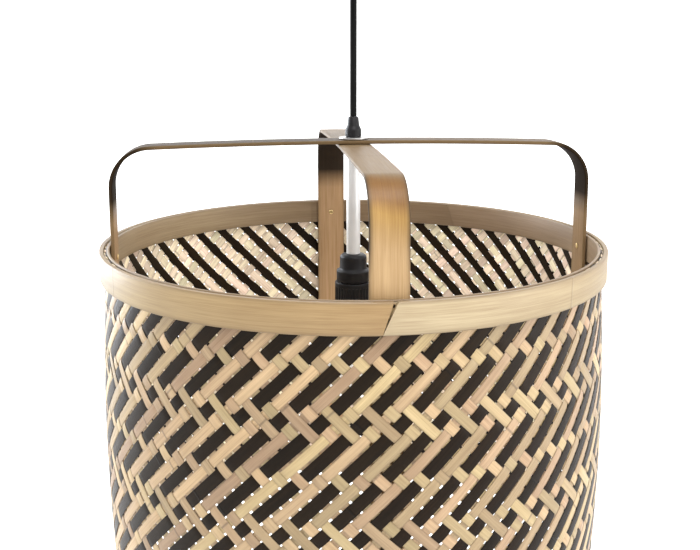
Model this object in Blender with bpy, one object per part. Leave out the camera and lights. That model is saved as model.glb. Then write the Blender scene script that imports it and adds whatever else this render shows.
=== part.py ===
"""Woven bamboo pendant lamp: a drum shade hung from two crossed bamboo straps.

The origin is the top of the ceiling plate, +Z is up and everything hangs below it. Metres.
The front of the lamp looks along -Y. The strap pair is turned a few degrees about the vertical.
"""

import math

import bmesh
import bpy
from mathutils import Matrix, Vector

# ---- driving dimensions, metres ----
GAP = 0.0003  # clearance between touching pieces

# shade
RIM_RADIUS = 0.225
SHADE_HEIGHT = 0.320
HOOP_HEIGHT = 0.024
OUTER_HOOP_THICKNESS = 0.0040
INNER_HOOP_THICKNESS = 0.0025
WALL_THICKNESS = 0.0016
HOOP_TO_WALL = 0.00045  # room between two faceted rings
WALL_BELLY = 0.005  # how far the woven wall bows out at mid height
LAP_ANGLE = math.radians(1.5)  # arc over which a hoop's skived ends overlap
LAP_SLIT = math.radians(0.25)
HOOP_EDGE = 0.0009  # chamfer
HOOP_JOINTS = {"top": (-83.8, 60.0), "bottom": (-52.5, 127.5)}  # azimuths of outer and inner, degrees
RING_STEPS = 48  # every ring of the shade has its corners at the same azimuths

# straps
STRAP_WIDTH = 0.029
STRAP_THICKNESS = 0.0034
STRAP_CORNER_RADIUS = 0.035
STRAP_CROWN = 0.003  # rise of the strap's top at the middle
STRAP_EDGE = 0.0009  # chamfer
STRAP_TURN = math.radians(6.6)  # turn of the strap pair about the vertical
HANDLE_RISE = 0.0906  # strap top above the rim
FOOT_ABOVE_BASE = 0.003

# ceiling fitting
PLATE_RADIUS = 0.0455
PLATE_THICKNESS = 0.0024
PLATE_FLANGE_HEIGHT = 0.011
CUP_RADIUS = 0.050
CUP_DEPTH = 0.048
CUP_WALL = 0.0015
CUP_CORNER = 0.012
BALL_RADIUS = 0.009
BALL_DROP = 0.050  # ball centre below the ceiling
SLEEVE_LENGTH = 0.0048
SLEEVE_RADIUS = 0.0042
SLEEVE_EDGE = 0.0006
SEAT_HOLE = 0.012  # radius of the hole in the cup's base
SEAT_FLANGE_RADIUS = 0.017
SEAT_FLANGE_THICKNESS = 0.0027
SEAT_MOUTH_DROP = 0.007  # the seat's lower edge below the ball's centre
SEAT_EDGE = 0.0012
CUP_SCREW_RADIUS = 0.0015
CUP_SCREW_HEAD = 0.0029
CUP_SCREW_HEIGHT = -0.007
BLOCK_REACH = 0.024  # terminal block's centre from the axis
BLOCK_SIZE = (0.016, 0.026, 0.014)
BLOCK_EDGE = 0.0012
TERMINAL_OFFSET = 0.007
TERMINAL_SCREW_RADIUS = 0.0021
TERMINAL_SCREW_LENGTH = 0.0036
CUP_LEAD_DIAMETER = 0.005

# suspension
CORD_DIAMETER = 0.006
STRAP_TOP = -0.204  # height of the upper strap's top face
GRIP_HEIGHT = 0.018
GRIP_TOP_RADIUS = 0.0049
GRIP_COLLAR_RADIUS = 0.0072
GRIP_COLLAR_HEIGHT = 0.0062
GRIP_BORE_DEPTH = 0.007
GRIP_SCREW_RADIUS = 0.0012
GRIP_SCREW_LENGTH = 0.0030
GRIP_SCREW_RISE = 0.0125  # above the grip's base
GRIP_SCREW_HEADING = math.radians(60)
WASHER_THICKNESS = 0.0015
TOP_WASHER_RADIUS = 0.013
LOWER_WASHER_RADIUS = 0.012
NUT_THICKNESS = 0.004
NUT_ACROSS_FLATS = 0.014
TUBE_RADIUS = 0.005
TUBE_BORE = 0.0035
SLEEVE_TUBE_RADIUS = 0.0062
CORE_DIAMETER = 0.0022
CORE_OFFSET = 0.0016

# lampholder and bulb
HOLDER_TOP_BELOW_RIM = 0.0143
HOLDER_CAP_HEIGHT = 0.0251
HOLDER_BODY_HEIGHT = 0.0317
HOLDER_CAP_RADIUS = 0.0153
HOLDER_BODY_RADIUS = 0.0167
HOLDER_WALL = 0.0018
HOLDER_NUT_ACROSS_FLATS = 0.0136
SHELL_INNER_RADIUS = 0.0135
INSULATOR_THICKNESS = 0.0040
CONTACT_RADIUS = 0.0040
BULB_RADIUS = 0.030
BULB_LENGTH = 0.104
BULB_NECK_RADIUS = 0.0119
GLASS_THICKNESS = 0.0010
BULB_CAP_HEIGHT = 0.0235
BULB_CAP_TOP_RADIUS = 0.0104
BULB_CONTACT_HEIGHT = 0.0018
BULB_INSULATOR_HEIGHT = 0.0028

# pins through strap, inner hoop and wall
PIN_RADIUS = 0.0012
PIN_HEAD_RADIUS = 0.0026
PIN_HEAD_THICKNESS = 0.0010

# ---- levels and radii that follow from them ----
RIM_TOP = STRAP_TOP - HANDLE_RISE
SHADE_BASE = RIM_TOP - SHADE_HEIGHT
OUTER_HOOP_BORE = RIM_RADIUS - OUTER_HOOP_THICKNESS
WALL_OUTER = OUTER_HOOP_BORE - HOOP_TO_WALL
WALL_INNER = WALL_OUTER - WALL_THICKNESS
INNER_HOOP_OUTER = WALL_INNER - HOOP_TO_WALL
INNER_HOOP_BORE = INNER_HOOP_OUTER - INNER_HOOP_THICKNESS
HOOP_FACET = INNER_HOOP_BORE * (1 - math.cos(math.pi / RING_STEPS))  # its flats come inside by this
LEG_FACE = math.sqrt((INNER_HOOP_BORE - GAP - HOOP_FACET) ** 2 - (STRAP_WIDTH / 2) ** 2)
LEG_RADIUS = LEG_FACE - STRAP_THICKNESS / 2
LOWER_STRAP_TOP = STRAP_TOP - STRAP_THICKNESS - GAP
UNDER_STRAPS = LOWER_STRAP_TOP - STRAP_THICKNESS - GAP
GRIP_BASE = STRAP_TOP + GAP + WASHER_THICKNESS + GAP
GRIP_TOP = GRIP_BASE + GRIP_HEIGHT
NUT_TOP = UNDER_STRAPS - WASHER_THICKNESS - GAP
SLEEVE_TUBE_TOP = NUT_TOP - NUT_THICKNESS - GAP
HOLDER_TOP = RIM_TOP - HOLDER_TOP_BELOW_RIM
HOLDER_BODY_TOP = HOLDER_TOP - HOLDER_CAP_HEIGHT - GAP
HOLDER_BASE = HOLDER_BODY_TOP - HOLDER_BODY_HEIGHT
BALL_Z = -BALL_DROP
SLEEVE_TOP = BALL_Z - BALL_RADIUS - GAP
SLEEVE_BASE = SLEEVE_TOP - SLEEVE_LENGTH
BULB_TOP = HOLDER_BODY_TOP - 0.0080
STRAP_HEADINGS = {"right": 0.0, "back": 90.0, "left": 180.0, "front": 270.0}


def clear_scene():
    for old in list(bpy.data.objects):
        bpy.data.objects.remove(old, do_unlink=True)


def finish(name, colour, roughness, metallic=0.0):
    """A Principled material with one colour."""
    made = bpy.data.materials.new(name)
    made.use_nodes = True
    shader = made.node_tree.nodes["Principled BSDF"]
    shader.inputs["Base Color"].default_value = (*colour, 1.0)
    shader.inputs["Roughness"].default_value = roughness
    shader.inputs["Metallic"].default_value = metallic
    return made


def axis_frame(name, height, parent=None):
    """An empty on the lamp's vertical axis, which marks a joint's pivot."""
    empty = bpy.data.objects.new(name, None)
    empty.empty_display_size = 0.02
    bpy.context.scene.collection.objects.link(empty)
    empty["height"] = height
    empty.location = (0, 0, height - (parent["height"] if parent else 0.0))
    empty.parent = parent
    return empty


def add_part(name, bm, material, frame):
    """Makes a named object from a mesh given in world coordinates, with its origin at its frame."""
    bmesh.ops.recalc_face_normals(bm, faces=bm.faces[:])
    bmesh.ops.translate(bm, verts=bm.verts[:], vec=(0, 0, -frame["height"]))
    mesh = bpy.data.meshes.new(name)
    bm.to_mesh(mesh)
    bm.free()
    mesh.shade_smooth()
    mesh.set_sharp_from_angle(angle=math.radians(32))
    mesh.materials.append(material)
    part = bpy.data.objects.new(name, mesh)
    bpy.context.scene.collection.objects.link(part)
    part.parent = frame
    return part


def turned_mesh(profile, segments=32, radius_at=None):
    """A turned solid about Z. The profile is a list of (radius, height). One that starts and ends on
    the axis is closed by poles, and any other is a closed loop that makes a ring."""
    bm = bmesh.new()
    rings = []
    for radius, height in profile:
        if radius == 0:
            rings.append([bm.verts.new((0, 0, height))])
            continue
        ring = []
        for i in range(segments):
            angle = 2 * math.pi * i / segments
            r = radius_at(radius, angle) if radius_at else radius
            ring.append(bm.verts.new((r * math.cos(angle), r * math.sin(angle), height)))
        rings.append(ring)
    pairs = list(zip(rings, rings[1:]))
    if profile[0][0] != 0:
        pairs.append((rings[-1], rings[0]))
    for upper, lower in pairs:
        for i in range(segments):
            j = (i + 1) % segments
            corners = [upper[i % len(upper)], upper[j % len(upper)]]
            corners += [lower[j % len(lower)], lower[i % len(lower)]]
            bm.faces.new(list(dict.fromkeys(corners)))
    return bm


def turned(name, profile, material, frame, segments=32):
    return add_part(name, turned_mesh(profile, segments), material, frame)


def arc(centre, radius, start, end, steps):
    """Points on an arc in the radius-height plane, angles in degrees from the outward direction."""
    points = []
    for i in range(steps + 1):
        a = math.radians(start + (end - start) * i / steps)
        points.append((centre[0] + radius * math.cos(a), centre[1] + radius * math.sin(a)))
    return points


def tube_profile(bore, outer, low, high, chamfer=0.0):
    """The section of a plain round tube, with its outer edges chamfered."""
    c = chamfer
    edges = [(outer - c, high), (outer, high - c), (outer, low + c), (outer - c, low)]
    if c == 0:
        edges = [(outer, high), (outer, low)]
    return edges + [(bore, low), (bore, high)]


def hex_nut(name, across_flats, bore, low, high, material, frame):
    """A hexagonal nut with a round bore."""
    apothem = across_flats / 2

    def hexagon(radius, angle):
        if radius < apothem:
            return radius
        return radius / math.cos((angle % (math.pi / 3)) - math.pi / 6)

    profile = [(apothem, high), (apothem, low), (bore, low), (bore, high)]
    return add_part(name, turned_mesh(profile, 24, hexagon), material, frame)


def swept_mesh(sections):
    """A solid through a row of sections with the same number of points each."""
    bm = bmesh.new()
    rows = [[bm.verts.new(p) for p in section] for section in sections]
    count = len(rows[0])
    for a, b in zip(rows, rows[1:]):
        for i in range(count):
            j = (i + 1) % count
            bm.faces.new((a[i], a[j], b[j], b[i]))
    bm.faces.new(rows[0])
    bm.faces.new(list(reversed(rows[-1])))
    return bm


def strap_path(top):
    """Centreline of half a strap, from the foot of a leg to the middle of the top: (reach, height)."""
    centre_height = top - STRAP_THICKNESS / 2
    shoulder = centre_height - STRAP_CROWN
    corner = (LEG_RADIUS - STRAP_CORNER_RADIUS, shoulder - STRAP_CORNER_RADIUS)
    half = [(LEG_RADIUS, SHADE_BASE + FOOT_ABOVE_BASE)]
    half += arc(corner, STRAP_CORNER_RADIUS, 0, 90, 8)
    bow_steps = 6
    for i in range(1, bow_steps + 1):
        reach = corner[0] * (1 - i / bow_steps)
        rise = STRAP_CROWN * (1 - (reach / corner[0]) ** 2)
        half.append((reach, shoulder + rise))
    return half


def strap_mesh(top, heading):
    """A flat bamboo strip bent to a wide arch, with chamfered edges."""
    half = strap_path(top)
    path = half + [(-reach, height) for reach, height in reversed(half[:-1])]
    along = Vector((math.cos(heading), math.sin(heading), 0))
    across = Vector((-math.sin(heading), math.cos(heading), 0))
    up = Vector((0, 0, 1))
    points = [along * reach + up * height for reach, height in path]
    w, t, edge = STRAP_WIDTH / 2, STRAP_THICKNESS / 2, STRAP_EDGE
    outline = [(w - edge, t), (w, t - edge), (w, edge - t), (w - edge, -t)]
    outline += [(-x, -y) for x, y in outline]
    sections = []
    for i, p in enumerate(points):
        before, after = points[max(i - 1, 0)], points[min(i + 1, len(points) - 1)]
        normal = (after - before).cross(across).normalized()
        stretch = 1.0
        if 0 < i < len(points) - 1:
            bend = (p - before).angle(after - p)
            stretch = 1 / math.cos(bend / 2)
        sections.append([p + across * x + normal * (y * stretch) for x, y in outline])
    return swept_mesh(sections)


def hoop_mesh(bore, outer, low, high, joint):
    """A strip bent to a ring whose skived ends nearly meet at the azimuth called joint."""
    edge = HOOP_EDGE
    outline = [(bore, low), (outer - edge, low), (outer, low + edge)]
    outline += [(outer, high - edge), (outer - edge, high), (bore, high)]
    sections = []
    for i in range(RING_STEPS + 1):
        even = joint + 2 * math.pi * i / RING_STEPS
        trim = {0: 1, RING_STEPS: -1}.get(i, 0)
        section = []
        for radius, height in outline:
            depth = (outer - radius) / (outer - bore)
            skive = abs(trim) * LAP_ANGLE * (0.5 - depth)
            angle = even + trim * LAP_SLIT / 2 + skive
            section.append((radius * math.cos(angle), radius * math.sin(angle), height))
        sections.append(section)
    return swept_mesh(sections)


def wall_radius(height):
    """Outer radius of the woven wall: upright between the hoops' edges, bowed out between them."""
    low, high = SHADE_BASE + HOOP_HEIGHT, RIM_TOP - HOOP_HEIGHT
    share = min(max((height - low) / (high - low), 0.0), 1.0)
    return WALL_OUTER + WALL_BELLY * math.sin(math.pi * share)


def wall_profile():
    """Section of the woven wall as one plain ring."""
    margin = 0.001
    low, high = SHADE_BASE + margin, RIM_TOP - margin
    heights = [high, RIM_TOP - HOOP_HEIGHT]
    span = SHADE_HEIGHT - 2 * HOOP_HEIGHT
    heights += [RIM_TOP - HOOP_HEIGHT - span * i / 4 for i in range(1, 5)]
    heights.append(low)
    outside = [(wall_radius(h), h) for h in heights]
    inside = [(r - WALL_THICKNESS, h) for r, h in reversed(outside)]
    return outside + inside


def radial_matrix(heading, radius, height):
    """Turns a shape made along +Z so that it points outwards at a heading."""
    place = Matrix.Translation((radius * math.cos(heading), radius * math.sin(heading), height))
    return place @ Matrix.Rotation(heading, 4, "Z") @ Matrix.Rotation(math.pi / 2, 4, "Y")


def cutter(name, cylinders):
    """One guide object made of cylinders, each (matrix, radius, depth)."""
    bm = bmesh.new()
    for matrix, radius, depth in cylinders:
        bmesh.ops.create_cone(
            bm, cap_ends=True, segments=12, radius1=radius, radius2=radius, depth=depth, matrix=matrix
        )
    mesh = bpy.data.meshes.new(name)
    bm.to_mesh(mesh)
    bm.free()
    guide = bpy.data.objects.new(name, mesh)
    bpy.context.scene.collection.objects.link(guide)
    guide.hide_render = True
    guide.display_type = "WIRE"
    return guide


def cut(part, guide):
    modifier = part.modifiers.new("cut", "BOOLEAN")
    modifier.operation = "DIFFERENCE"
    modifier.solver = "EXACT"
    modifier.object = guide


def round_cable(name, points, diameter, material, frame, resolution=3):
    """A cable as a beveled poly curve through points in world coordinates."""
    curve = bpy.data.curves.new(name, "CURVE")
    curve.dimensions = "3D"
    curve.bevel_depth = diameter / 2
    curve.bevel_resolution = resolution
    curve.use_fill_caps = True
    spline = curve.splines.new("POLY")
    spline.points.add(len(points) - 1)
    for target, (x, y, z) in zip(spline.points, points):
        target.co = (x, y, z - frame["height"], 1)
    curve.materials.append(material)
    cable = bpy.data.objects.new(name, curve)
    bpy.context.scene.collection.objects.link(cable)
    cable.parent = frame
    return cable


def ceiling_fitting(frame, steel, black, white):
    """The plate on the ceiling, the cup screwed to it and what they hide."""
    flange_in = PLATE_RADIUS - 0.002
    plate = turned(
        "ceiling_plate",
        [
            (0, 0), (PLATE_RADIUS, 0), (PLATE_RADIUS, -PLATE_FLANGE_HEIGHT),
            (flange_in, -PLATE_FLANGE_HEIGHT), (flange_in, -PLATE_THICKNESS), (0, -PLATE_THICKNESS),
        ],
        steel, frame, 36,
    )
    inner = CUP_RADIUS - CUP_WALL
    cup_top = -0.0005
    outside_corner = (CUP_RADIUS - CUP_CORNER, -CUP_DEPTH + CUP_CORNER)
    profile = [(CUP_RADIUS, cup_top)]
    profile += arc(outside_corner, CUP_CORNER, 0, -90, 4)
    profile += [(SEAT_HOLE, -CUP_DEPTH), (SEAT_HOLE, -CUP_DEPTH + CUP_WALL)]
    profile += arc(outside_corner, CUP_CORNER - CUP_WALL, -90, 0, 4)
    profile += [(inner, cup_top)]
    cup = turned("ceiling_cup", profile, black, frame, 36)
    sides = {"left": math.pi, "right": 0.0}
    holes = []
    for heading in sides.values():
        matrix = radial_matrix(heading, (flange_in + CUP_RADIUS) / 2, CUP_SCREW_HEIGHT)
        holes.append((matrix, CUP_SCREW_RADIUS + GAP, 2 * (CUP_RADIUS - flange_in)))
    guide = cutter("cup_screw_holes", holes)
    cut(plate, guide)
    cut(cup, guide)
    for side, heading in sides.items():
        start, face = flange_in - 0.002, CUP_RADIUS + GAP
        length, head = face - start, 0.0018
        bm = turned_mesh(
            [
                (0, 0), (CUP_SCREW_RADIUS, 0), (CUP_SCREW_RADIUS, length), (CUP_SCREW_HEAD, length),
                (CUP_SCREW_HEAD, length + head * 0.6), (CUP_SCREW_HEAD * 0.76, length + head),
                (0, length + head),
            ],
            12,
        )
        bm.transform(radial_matrix(heading, start, CUP_SCREW_HEIGHT))
        add_part(f"cup_screw_{side}", bm, steel, frame)
    terminal_block(frame, steel, white)


def terminal_block(frame, steel, white):
    """A two-way connector under the plate, its clamp screws and the lead to the swivel."""
    size = Vector(BLOCK_SIZE)
    centre = Vector((BLOCK_REACH, 0, -PLATE_THICKNESS - GAP - size.z / 2))
    bm = bmesh.new()
    bmesh.ops.create_cube(bm, size=1.0)
    bmesh.ops.scale(bm, verts=bm.verts[:], vec=size)
    bmesh.ops.bevel(bm, geom=bm.edges[:], offset=BLOCK_EDGE, segments=1, affect="EDGES", profile=0.5)
    bmesh.ops.translate(bm, verts=bm.verts[:], vec=centre)
    block = add_part("terminal_block", bm, white, frame)
    base = centre.z - size.z / 2
    holes = []
    radius, length, edge = TERMINAL_SCREW_RADIUS, TERMINAL_SCREW_LENGTH, 0.0006
    for name, y in (("live", TERMINAL_OFFSET), ("neutral", -TERMINAL_OFFSET)):
        place = Matrix.Translation((centre.x, y, base))
        holes.append((place, radius + GAP, 2 * (length + GAP)))
        bm = turned_mesh([(0, length), (radius, length), (radius, edge), (radius - edge, 0), (0, 0)], 12)
        bm.transform(place)
        add_part(f"terminal_screw_{name}", bm, steel, frame)
    cut(block, cutter("terminal_screw_holes", holes))


def swivel_and_cord(ceiling, swivel, hanger, black, brass, cord_black):
    """The ball that lets the lamp hang plumb, the sleeve crimped on the cord and the cord."""
    bore = BALL_RADIUS + GAP
    seat_angle = -35
    flange_base = -CUP_DEPTH + CUP_WALL + GAP
    flange_top = flange_base + SEAT_FLANGE_THICKNESS
    neck = SEAT_HOLE - GAP
    mouth = arc((0, BALL_Z), bore, seat_angle, 0, 4)
    seat_base = BALL_Z - SEAT_MOUTH_DROP
    profile = [(SEAT_FLANGE_RADIUS, flange_top), (SEAT_FLANGE_RADIUS, flange_base), (neck, flange_base)]
    profile += [(neck, seat_base + SEAT_EDGE), (neck - SEAT_EDGE, seat_base)]
    profile += [(mouth[0][0] + 0.001, seat_base)]
    profile += mouth + [(bore, flange_top)]
    turned("swivel_seat", profile, black, ceiling, 24)
    ball = arc((0, BALL_Z), BALL_RADIUS, 90, -90, 8)
    ball[0], ball[-1] = (0, BALL_Z + BALL_RADIUS), (0, BALL_Z - BALL_RADIUS)
    turned("swivel_ball", ball, brass, swivel, 20)
    turned(
        "cord_sleeve",
        [
            (0, SLEEVE_TOP), (SLEEVE_RADIUS - SLEEVE_EDGE / 3, SLEEVE_TOP),
            (SLEEVE_RADIUS, SLEEVE_TOP - SLEEVE_EDGE), (SLEEVE_RADIUS, SLEEVE_BASE + 2 * SLEEVE_EDGE),
            (SLEEVE_RADIUS - SLEEVE_EDGE, SLEEVE_BASE), (0, SLEEVE_BASE),
        ],
        brass, hanger, 16,
    )
    start, end = SLEEVE_BASE - GAP, GRIP_TOP + GAP
    steps = 15
    route = [(0, 0, start + (end - start) * i / steps) for i in range(steps + 1)]
    round_cable("supply_cord", route, CORD_DIAMETER, cord_black, hanger)
    lead_end = BALL_Z + BALL_RADIUS + 3 * GAP
    lead_start = -PLATE_THICKNESS - GAP - BLOCK_SIZE[2] - GAP
    straight = 0.002
    ends = [Vector((BLOCK_REACH, 0, lead_start)), Vector((0, 0, lead_end))]
    corners = [ends[0] - Vector((0, 0, straight)), ends[0] - Vector((0, 0, 0.013))]
    corners += [ends[1] + Vector((0, 0, 0.016)), ends[1] + Vector((0, 0, straight))]
    lead = [ends[0], *(bezier(corners, i / 9) for i in range(10)), ends[1]]
    round_cable("cup_lead", lead, CUP_LEAD_DIAMETER, cord_black, ceiling, 2)


def bezier(corners, t):
    """A point on the cubic curve with these four control points."""
    a, b, c, d = corners
    s = 1 - t
    return a * s**3 + b * (3 * s * s * t) + c * (3 * s * t * t) + d * t**3


def centre_stack(lamp, black, steel, nickel, white):
    """Everything threaded on the centre tube, from the cord grip down to the lampholder."""
    turned(
        "top_washer",
        tube_profile(TUBE_RADIUS + GAP, TOP_WASHER_RADIUS, STRAP_TOP + GAP, GRIP_BASE - GAP),
        nickel, lamp, 28,
    )
    edge = 0.0005
    waist = GRIP_COLLAR_HEIGHT + 0.0033  # the cone ends here, above the collar
    grip = turned(
        "cord_grip",
        [
            (0, GRIP_TOP), (GRIP_TOP_RADIUS - edge, GRIP_TOP), (GRIP_TOP_RADIUS, GRIP_TOP - 0.0008),
            (0.0058, GRIP_BASE + waist), (GRIP_COLLAR_RADIUS, GRIP_BASE + GRIP_COLLAR_HEIGHT),
            (GRIP_COLLAR_RADIUS, GRIP_BASE + edge), (GRIP_COLLAR_RADIUS - edge, GRIP_BASE),
            (TUBE_RADIUS + GAP, GRIP_BASE), (TUBE_RADIUS + GAP, GRIP_BASE + GRIP_BORE_DEPTH),
            (0, GRIP_BASE + GRIP_BORE_DEPTH),
        ],
        black, lamp, 24,
    )
    screw_height = GRIP_BASE + GRIP_SCREW_RISE
    inner_end = 0.0023
    radius, length = GRIP_SCREW_RADIUS, GRIP_SCREW_LENGTH
    hole_length = 0.0050
    middle = radial_matrix(GRIP_SCREW_HEADING, inner_end - 0.0004 + hole_length / 2, screw_height)
    cut(grip, cutter("grip_screw_hole", [(middle, radius + GAP, hole_length)]))
    bm = turned_mesh([(0, 0), (radius, 0), (radius, length), (0, length)], 12)
    bm.transform(radial_matrix(GRIP_SCREW_HEADING, inner_end, screw_height))
    add_part("grip_screw", bm, steel, lamp)
    turned(
        "lower_washer",
        tube_profile(TUBE_RADIUS + GAP, LOWER_WASHER_RADIUS, UNDER_STRAPS - WASHER_THICKNESS, UNDER_STRAPS),
        nickel, lamp, 28,
    )
    nut_base = NUT_TOP - NUT_THICKNESS
    hex_nut("lock_nut", NUT_ACROSS_FLATS, TUBE_RADIUS + GAP, nut_base, NUT_TOP, steel, lamp)
    tube_top = GRIP_BASE + GRIP_BORE_DEPTH - 0.0012
    tube_base = HOLDER_TOP - 0.0085
    turned("threaded_tube", tube_profile(TUBE_BORE, TUBE_RADIUS, tube_base, tube_top), steel, lamp, 20)
    turned(
        "tube_sleeve",
        tube_profile(TUBE_RADIUS + GAP, SLEEVE_TUBE_RADIUS, HOLDER_TOP + GAP, SLEEVE_TUBE_TOP),
        nickel, lamp, 28,
    )
    lead_top, lead_base = tube_top - 0.002, HOLDER_BODY_TOP + 0.0006
    for name, x in (("live", CORE_OFFSET), ("neutral", -CORE_OFFSET)):
        points = [(x, 0, lead_top), (x, 0, (lead_top + tube_base) / 2), (x, 0, tube_base)]
        points.append((x * 2.2, 0, lead_base))
        round_cable(f"lead_{name}", points, CORE_DIAMETER, white, lamp, 2)


def lampholder(lamp, black, white, brass, steel):
    """The screw lampholder: cap, nut, body, insulator, threaded shell and centre contact."""
    hole = TUBE_RADIUS + GAP
    top, cap_base = HOLDER_TOP, HOLDER_TOP - HOLDER_CAP_HEIGHT
    shoulder = HOLDER_CAP_RADIUS - 0.0029  # radius of the stepped upper part
    bore = HOLDER_CAP_RADIUS - HOLDER_WALL
    roof = 0.0025
    outside = [(hole, top), (0.0088, top), (shoulder - 0.0010, top - 0.0010), (shoulder, top - 0.0034)]
    outside += [(shoulder, top - 0.0128), (HOLDER_CAP_RADIUS, top - 0.0153), (HOLDER_CAP_RADIUS, cap_base)]
    inside = [(bore, cap_base), (bore, top - 0.0160), (shoulder - HOLDER_WALL, top - 0.0145)]
    inside += [(shoulder - HOLDER_WALL, top - roof - 0.0012), (0.0085, top - roof), (hole, top - roof)]
    turned("holder_cap", outside + inside, black, lamp, 28)
    nut_top = top - roof - 0.0005
    hex_nut("holder_nut", HOLDER_NUT_ACROSS_FLATS, hole, nut_top - 0.003, nut_top, steel, lamp)
    edge = 0.0006
    insulator_radius = SHELL_INNER_RADIUS + 0.0008
    body = [(HOLDER_BODY_RADIUS - edge, HOLDER_BODY_TOP), (HOLDER_BODY_RADIUS, HOLDER_BODY_TOP - edge)]
    body += [(HOLDER_BODY_RADIUS, HOLDER_BASE + edge), (HOLDER_BODY_RADIUS - edge, HOLDER_BASE)]
    body += [(insulator_radius + GAP, HOLDER_BASE), (insulator_radius + GAP, HOLDER_BODY_TOP)]
    turned("holder_body", body, black, lamp, 28)
    insulator_base = HOLDER_BODY_TOP - 0.0010 - INSULATOR_THICKNESS
    turned(
        "holder_insulator",
        [
            (0, HOLDER_BODY_TOP - 0.0010), (insulator_radius, HOLDER_BODY_TOP - 0.0010),
            (insulator_radius, insulator_base), (0, insulator_base),
        ],
        white, lamp, 24,
    )
    turned(
        "screw_shell",
        tube_profile(SHELL_INNER_RADIUS, insulator_radius - GAP, HOLDER_BASE + 0.0015, insulator_base - GAP),
        brass, lamp, 28,
    )
    contact_top = insulator_base - GAP
    turned(
        "centre_contact",
        [
            (0, contact_top), (CONTACT_RADIUS, contact_top), (CONTACT_RADIUS * 0.9, contact_top - 0.0010),
            (0, contact_top - 0.0018),
        ],
        brass, lamp, 16,
    )


def bulb(slide, turn, brass, black, nickel, glass):
    """A screw-cap bulb: contact, insulator, cap and glass envelope."""
    base = BULB_TOP - BULB_CONTACT_HEIGHT
    contact = [(0, BULB_TOP), (0.0036, BULB_TOP - BULB_CONTACT_HEIGHT / 3), (0.0046, base), (0, base)]
    turned("bulb_contact", contact, brass, slide, 16)
    top = base - GAP
    insulator_base = top - BULB_INSULATOR_HEIGHT
    insulator = [(0, top), (0.0050, top), (0.0100, insulator_base), (0, insulator_base)]
    turned("bulb_insulator", insulator, black, turn, 24)
    cap_top = insulator_base - GAP
    cap_base = cap_top - BULB_CAP_HEIGHT
    cap_radius = SHELL_INNER_RADIUS - 0.0004
    bore, lip = BULB_NECK_RADIUS + 0.0005, BULB_CAP_TOP_RADIUS - 0.0006
    turned(
        "bulb_screw_cap",
        [
            (lip, cap_top), (BULB_CAP_TOP_RADIUS, cap_top), (cap_radius, cap_top - 0.0030),
            (cap_radius, cap_base + 0.0010), (cap_radius - 0.0002, cap_base), (bore, cap_base),
            (bore, cap_top - 0.0034), (lip, cap_top - 0.0008),
        ],
        nickel, turn, 28,
    )
    bottom = BULB_TOP - BULB_LENGTH
    centre = (0, bottom + BULB_RADIUS)
    flank = 38
    throat = [(0.0146, cap_base - 0.0120), (BULB_NECK_RADIUS, cap_base - 0.0020)]
    throat.append((BULB_NECK_RADIUS, cap_base + 0.0060))
    profile = [(0, bottom)]
    profile += arc(centre, BULB_RADIUS, -90, flank, 8)[1:]
    profile += throat
    profile += [(r - GLASS_THICKNESS, h) for r, h in reversed(throat)]
    profile += arc(centre, BULB_RADIUS - GLASS_THICKNESS, flank, -90, 8)[:-1]
    profile += [(0, bottom + GLASS_THICKNESS)]
    turned("bulb_glass", profile, glass, turn, 24)


def straps(lamp, bamboo):
    """The upper strap runs left to right and the lower one front to back, crossing under the grip."""
    bore = (Matrix.Translation((0, 0, STRAP_TOP - 0.005)), TUBE_RADIUS + GAP, 0.03)
    guide = cutter("strap_bore", [bore])
    made = []
    for name, top, quarter in (("side_strap", STRAP_TOP, 0.0), ("cross_strap", LOWER_STRAP_TOP, 90.0)):
        heading = STRAP_TURN + math.radians(quarter)
        strap = add_part(name, strap_mesh(top, heading), bamboo, lamp)
        cut(strap, guide)
        made.append(strap)
    return made


def shade(lamp, bamboo, weave):
    """The woven wall, clamped at both edges between an outer and an inner hoop."""
    hoops = {}
    rim_low, base_high = RIM_TOP - HOOP_HEIGHT, SHADE_BASE + HOOP_HEIGHT
    levels = {"top": (rim_low, RIM_TOP), "bottom": (SHADE_BASE, base_high)}
    for place, (low, high) in levels.items():
        outer_joint, inner_joint = (math.radians(azimuth) for azimuth in HOOP_JOINTS[place])
        mesh = hoop_mesh(OUTER_HOOP_BORE, RIM_RADIUS, low, high, outer_joint)
        add_part(f"{place}_hoop_outer", mesh, bamboo, lamp)
        mesh = hoop_mesh(INNER_HOOP_BORE, INNER_HOOP_OUTER, low, high, inner_joint)
        hoops[place] = add_part(f"{place}_hoop_inner", mesh, bamboo, lamp)
    wall = add_part("woven_wall", turned_mesh(wall_profile(), RING_STEPS), weave, lamp)
    return hoops, wall


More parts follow.
